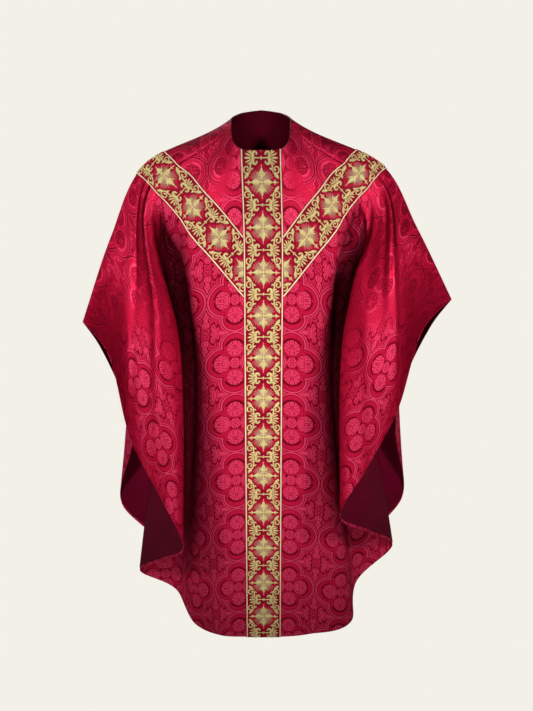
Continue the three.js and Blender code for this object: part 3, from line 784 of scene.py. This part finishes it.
def scrolls():
    """The scrollwork between flowers: a barred knot, with a palmette, a curl and leaves in each quarter."""
    quarter = [
        # the volute that curls in over the bar
        stroke([(17, -0.5), (17.8, 5), (16.6, 10.4), (12.4, 11.8), (9.3, 9), (10, 6)],
               [3.4, 3.5, 3.0, 2.3, 1.8, 2.2], 1.1, 14),
        # petals
        stroke([(21.5, 2.6), (27, 6), (33, 8.6)], [1.0, 1.8, 2.0, 1.2], 0.9, 6),
        stroke([(20.5, 6), (24.4, 10.4), (28.6, 12.6)], [1.2, 1.6, 1.7, 1.0], 0.9, 6),
        # the curl, from the volute round to the ball in its middle
        stroke([(21.4, 9.8), (23.4, 16), (23.2, 22), (25.2, 27.6), (30.2, 30.4), (35.6, 28.2), (37.3, 23),
                (35, 18), (30.6, 16.9), (27.4, 19.6), (28, 23.4), (30.8, 24.2)],
               [2.0, 1.7, 1.6, 1.6, 1.6, 1.7, 1.7, 1.6, 1.5, 1.5, 1.9, 2.4], 1.0, 30),
        # leaves beyond the curl and inside it
        stroke([(25.6, 27.4), (29, 32.6), (33, 36.8), (35.4, 42)], [1.2, 2.5, 3.9, 3.2, 0.6], 0.9, 8),
        stroke([(24, 19.6), (20.6, 22), (16.4, 19.6)], [1.2, 2.4, 2.0, 0.5], 0.9, 6),
    ]
    parts = four_ways(quarter)
    petal = stroke([(22, 0), (28.6, 0), (35, 0)], [1.2, 2.2, 2.3, 1.2], 0.9, 6)
    parts += [petal, mirrored(petal, x=-1)]
    return parts + [
        stroke([(-19, 0), (0, 0), (19, 0)], [3.4, 1.8, 1.2, 1.2, 1.2, 1.8, 3.4], 0.9, 12),
        stroke([(0, -3.8), (0, 3.8)], [0.5, 3.2, 0.5], 1.2, 6),
    ]


def repeated_motif(part, material, repeats, pitch, first):
    """A motif set down along a band at a pitch, by Geometry Nodes, as a plain mesh in band coordinates."""
    motif = new_piece("motif", part["points"], part["faces"], material, part["uv"], part["rose"])
    tree = bpy.data.node_groups.new("embroidered repeats", "GeometryNodeTree")
    given, result = tree.nodes.new("NodeGroupInput"), tree.nodes.new("NodeGroupOutput")
    tree.interface.new_socket("Geometry", in_out="INPUT", socket_type="NodeSocketGeometry")
    tree.interface.new_socket("Geometry", in_out="OUTPUT", socket_type="NodeSocketGeometry")
    values = {"Repeats": ("NodeSocketInt", repeats), "Pitch": ("NodeSocketVector", (0, pitch * MM, 0)),
              "First": ("NodeSocketVector", (0, first * MM, 0)), "Thread": ("NodeSocketMaterial", material)}
    named = {name: tree.interface.new_socket(name, in_out="INPUT", socket_type=kind).identifier
             for name, (kind, _) in values.items()}
    row = tree.nodes.new("GeometryNodeMeshLine")
    instances = tree.nodes.new("GeometryNodeInstanceOnPoints")
    realize = tree.nodes.new("GeometryNodeRealizeInstances")
    dress = tree.nodes.new("GeometryNodeSetMaterial")
    for source, target in (
        (given.outputs["Repeats"], row.inputs["Count"]),
        (given.outputs["Pitch"], row.inputs["Offset"]),
        (given.outputs["First"], row.inputs["Start Location"]),
        (row.outputs[0], instances.inputs["Points"]),
        (given.outputs["Geometry"], instances.inputs["Instance"]),
        (instances.outputs[0], realize.inputs[0]),
        (realize.outputs[0], dress.inputs["Geometry"]),
        (given.outputs["Thread"], dress.inputs["Material"]),
        (dress.outputs[0], result.inputs[0]),
    ):
        tree.links.new(source, target)
    modifier = motif.modifiers.new("repeats", "NODES")
    modifier.node_group = tree
    for name, identifier in named.items():
        modifier[identifier] = values[name][1]
    made = bpy.data.meshes.new_from_object(motif.evaluated_get(bpy.context.evaluated_depsgraph_get()))
    bpy.data.objects.remove(motif)
    return made


def part_of(mesh):
    """A mesh in band coordinates as a part, like those that stroke makes."""
    count = len(mesh.vertices)
    points, rose, flat = np.empty(count * 3), np.empty(count), np.empty(len(mesh.loops) * 2)
    mesh.vertices.foreach_get("co", points)
    mesh.attributes["rose"].data.foreach_get("value", rose)
    mesh.uv_layers["Flat"].data.foreach_get("uv", flat)
    uv = np.zeros((count, 2))
    uv[corner_numbers(mesh)] = flat.reshape(-1, 2)
    return {"points": points.reshape(-1, 3) / MM, "uv": uv, "rose": rose,
            "faces": [list(face.vertices) for face in mesh.polygons]}


def cut_off(part, start, end):
    """A part without its faces wholly past an end, and with the rest held back to it."""
    points = part["points"]
    outside = (points[:, 1] < start) | (points[:, 1] > end)
    faces = [face for face in part["faces"] if not all(outside[corner] for corner in face)]
    points[:, 1] = np.clip(points[:, 1], start, end)
    used = np.unique([corner for face in faces for corner in face])
    renumber = np.zeros(len(points), int)
    renumber[used] = np.arange(len(used))
    kept = {key: part[key][used] for key in ("points", "uv", "rose")}
    return {**kept, "faces": [[int(renumber[corner]) for corner in face] for face in faces]}


# ---- The orphreys ----

COLUMN_FLOWERS = 159  # how far down the flat cut the column's first whole flower is
ARM_FLOWERS = 90  # from where an arm meets the column to its first flower
BAND_COLUMNS = 22  # columns of faces across a band's ground
BAND_STEP = 4  # along a band, between its rows of points
CORD = {"across": 40.9, "half": 1.3, "height": 0.9}  # the gold cord along each edge of the braid


class Band:
    """A straight band on a panel's flat cut, in band coordinates: x across it and y along it."""

    def __init__(self, panel, to_flat, ends_at, flowers):
        self.panel, self.to_flat, self.ends_at, self.flowers = panel, to_flat, ends_at, flowers

    def lay(self, across, down, height):
        return self.panel.lay(self.to_flat(across, down), GAP + height)

    def turned(self):
        """Whether the band's coordinates are the mirror of the flat cut's."""
        zero, across, down = self.to_flat(np.array([0.0, 1.0, 0.0]), np.array([0.0, 0.0, 1.0]))[:, None]
        return bool(cross2(across - zero, down - zero)[0] > 0)

    def ground(self, name, material):
        """The woven ground, as a closed wall."""
        across = np.linspace(-BRAID_EDGE, BRAID_EDGE, BAND_COLUMNS + 1)
        first, last = self.ends_at(across)
        rows = int((last - first).max() / BAND_STEP)
        share = np.linspace(0, 1, rows + 1)[:, None]
        down = first + (last - first) * share
        x, y = np.broadcast_to(across, down.shape).ravel(), down.ravel()
        size = (rows + 1, len(across), 3)
        top, bottom = (self.lay(x, y, height).reshape(size) for height in (BRAID["thick"], 0))
        points, faces = grid_wall(top, bottom)
        if self.turned():
            faces = faces[:, ::-1]
        uv = np.stack([x, y - self.flowers], axis=1) * MM
        return new_piece(name, points, faces, material, np.concatenate([uv, uv]))

    def motifs(self, material):
        """Repeats of flowers and scrolls along the band, cut off at its ends."""
        starts, ends = self.ends_at(np.array([-BRAID_EDGE, 0, BRAID_EDGE]))
        first, last = starts.min(), ends.max()
        before = int((self.flowers - first) // PITCH) + 1
        repeats = int((last - self.flowers) // PITCH) + 2 + before
        between = [{**part, "points": part["points"] + (0, PITCH / 2, 0)} for part in scrolls()]
        motif = joined_parts(flower() + between)
        mesh = repeated_motif(motif, material, repeats, PITCH, self.flowers - before * PITCH)
        part = part_of(mesh)
        bpy.data.meshes.remove(mesh)
        return cut_off(part, *self.ends_at(part["points"][:, 0]))

    def cord(self, across):
        """The cord along one edge."""
        start, end = (float(limit[0]) for limit in self.ends_at(np.array([across])))
        steps = int((end - start) / BAND_STEP)
        return stroke([(across, start), (across, end)], [CORD["half"]] * 2, CORD["height"], steps, (-1, -1))

    def gold(self, name, material):
        """The embroidery and the two edge cords."""
        part = joined_parts([self.motifs(material), self.cord(-CORD["across"]), self.cord(CORD["across"])])
        across, down, height = part["points"].T
        worn = self.lay(across, down, height + BRAID["thick"])
        faces = [face[::-1] for face in part["faces"]] if self.turned() else part["faces"]
        return new_piece(name, worn, faces, material, part["uv"], part["rose"])


def column_band(panel, is_front):
    depth = CUT["front_depth"] if is_front else CUT["back_depth"]

    def ends_at(across):
        square = NECK_FRONT_SQUARE if is_front else ELLIPSE
        top = depth * (1 - np.abs(across / CUT["neck_half"]) ** square) ** (1 / square)
        curve = np.sqrt(1 - (across / CUT["half_width"]) ** 2)
        bottom = CUT["seam_drop"] + (CUT["length"] - CUT["seam_drop"]) * curve
        return top, bottom

    return Band(panel, lambda across, down: np.stack([across, down], axis=1), ends_at, COLUMN_FLOWERS)


def arm_band(panel, sign):
    slope, meets = BRAID["slope"], BRAID["meets"]
    seam_slope = CUT["seam_drop"] / (CUT["half_width"] - CUT["neck_half"])

    def to_flat(across, up):
        return np.stack([sign * (BRAID_EDGE + up * cos(slope) + across * sin(slope)),
                         meets - up * sin(slope) + across * cos(slope)], axis=1)

    def ends_at(across):
        start = (GAP - across * sin(slope)) / cos(slope)
        past_neck = across * sin(slope) + BRAID_EDGE - CUT["neck_half"]
        end = meets + across * cos(slope) - past_neck * seam_slope
        return start, end / (seam_slope * cos(slope) + sin(slope)) - SEAM

    return Band(panel, to_flat, ends_at, ARM_FLOWERS)


# ---- The garment ----

damask, lining, braid, gold = damask_finish(), lining_finish(), braid_finish(), gold_finish()

# Sizes of the flat pieces, in metres and square metres
COLUMN_LENGTH = {"front": 1.21, "back": 1.265}
ARM_LENGTH, ARM_AREA = 0.43, 0.0308


def dress(name, is_front):
    """One panel with its lining, its three orphreys and their embroidery."""
    panel = Panel(is_front).prepare()
    shell = panel_wall(f"{name}_damask", panel, 0, -SHELL, damask)
    top = -(SHELL + LINING_GAP)
    inside = panel_wall(f"{name}_satin", Panel(is_front, LINING_END), top, top - LINING, lining)
    for piece, node, finish in ((shell, f"{name}_panel", "damask"), (inside, f"{name}_lining", "lining")):
        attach(piece, "root")
        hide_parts(node)
    bands = {
        "column": (column_band(panel, is_front), COLUMN_LENGTH[name]),
        "arm_left": (arm_band(panel, 1), ARM_LENGTH),
        "arm_right": (arm_band(panel, -1), ARM_LENGTH),
    }
    for part, (band, length) in bands.items():
        ground = band.ground(f"{name}_{part}_braid", braid)
        embroidery = band.gold(f"{name}_{part}_gold", gold)
        for piece in (ground, embroidery):
            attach(piece, "root")
        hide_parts(f"{name}_{part}")
        area = None if part == "column" else ARM_AREA


dress("front", True)
dress("back", False)


# ---- Backdrop, light and camera ----

PAPER = (0.896, 0.871, 0.807)
BACKDROP_RADIUS = 12  # metres, as are the places of the lamps and the camera
WORLD_COLOUR, WORLD_LIGHT = (1, 0.98, 0.95, 1), 0.09
LENS, EYE, TILTED_DOWN = 50.63, (0.007, -2.248, 0.143), radians(17)  # the lens in millimetres


def backdrop():
    """An even pale paper all round, which gives no light of its own to the cloth."""
    paper = Finish("pale paper", Base_Color=(0, 0, 0, 1), Roughness=1.0, Specular_IOR_Level=0.0,
                   Emission_Color=(*PAPER, 1), Emission_Strength=1.0)
    bpy.ops.mesh.primitive_uv_sphere_add(segments=32, ring_count=16, radius=BACKDROP_RADIUS)
    dome = bpy.context.object
    dome.name = "backdrop"
    dome.data.materials.append(paper.material)
    dome.visible_diffuse = dome.visible_glossy = dome.visible_transmission = dome.visible_shadow = False


def lamp(name, kind, place, aim, energy, **settings):
    """A lamp at a place that shines towards an aim, in watts, or for a sun in watts a square metre."""
    light = bpy.data.lights.new(name, kind)
    light.energy = energy
    for setting, value in settings.items():
        setattr(light, setting, value)
    holder = new_object(name, light)
    holder.location = place
    holder.rotation_euler = (Vector(aim) - Vector(place)).to_track_quat("-Z", "Y").to_euler()


def studio():
    """Faint light all round, a lamp on each drape from its own side, two on the column and one behind."""
    world = bpy.data.worlds.new("studio")
    world.use_nodes = True
    glow = world.node_tree.nodes["Background"].inputs
    glow["Color"].default_value, glow["Strength"].default_value = WORLD_COLOUR, WORLD_LIGHT
    bpy.context.scene.world = world
    bpy.context.scene.view_settings.view_transform = "Standard"
    for side in (-1, 1):
        lamp("side lamp", "SPOT", place=(side * 1.5, -1.8, 0.9), aim=(side * 0.43, -0.1, -0.32), energy=310,
             shadow_soft_size=0.3, spot_size=radians(31), spot_blend=1.0)
    for aim_height, energy in ((-0.52, 110), (-1.02, 130)):
        lamp("front lamp", "SPOT", place=(0, -2.5, -0.4), aim=(0, 0, aim_height), energy=energy,
             shadow_soft_size=0.25, spot_size=radians(23), spot_blend=1.0)
    lamp("back light", "SUN", place=(-0.4, 2.0, 1.2), aim=(0, 0, 0), energy=1.4, angle=radians(40))


def camera():
    lens = bpy.data.cameras.new("camera")
    lens.lens = LENS
    eye = new_object("camera", lens)
    eye.location = EYE
    eye.rotation_euler = (pi / 2 - TILTED_DOWN, 0, 0)
    bpy.context.scene.camera = eye


backdrop()
studio()
camera()
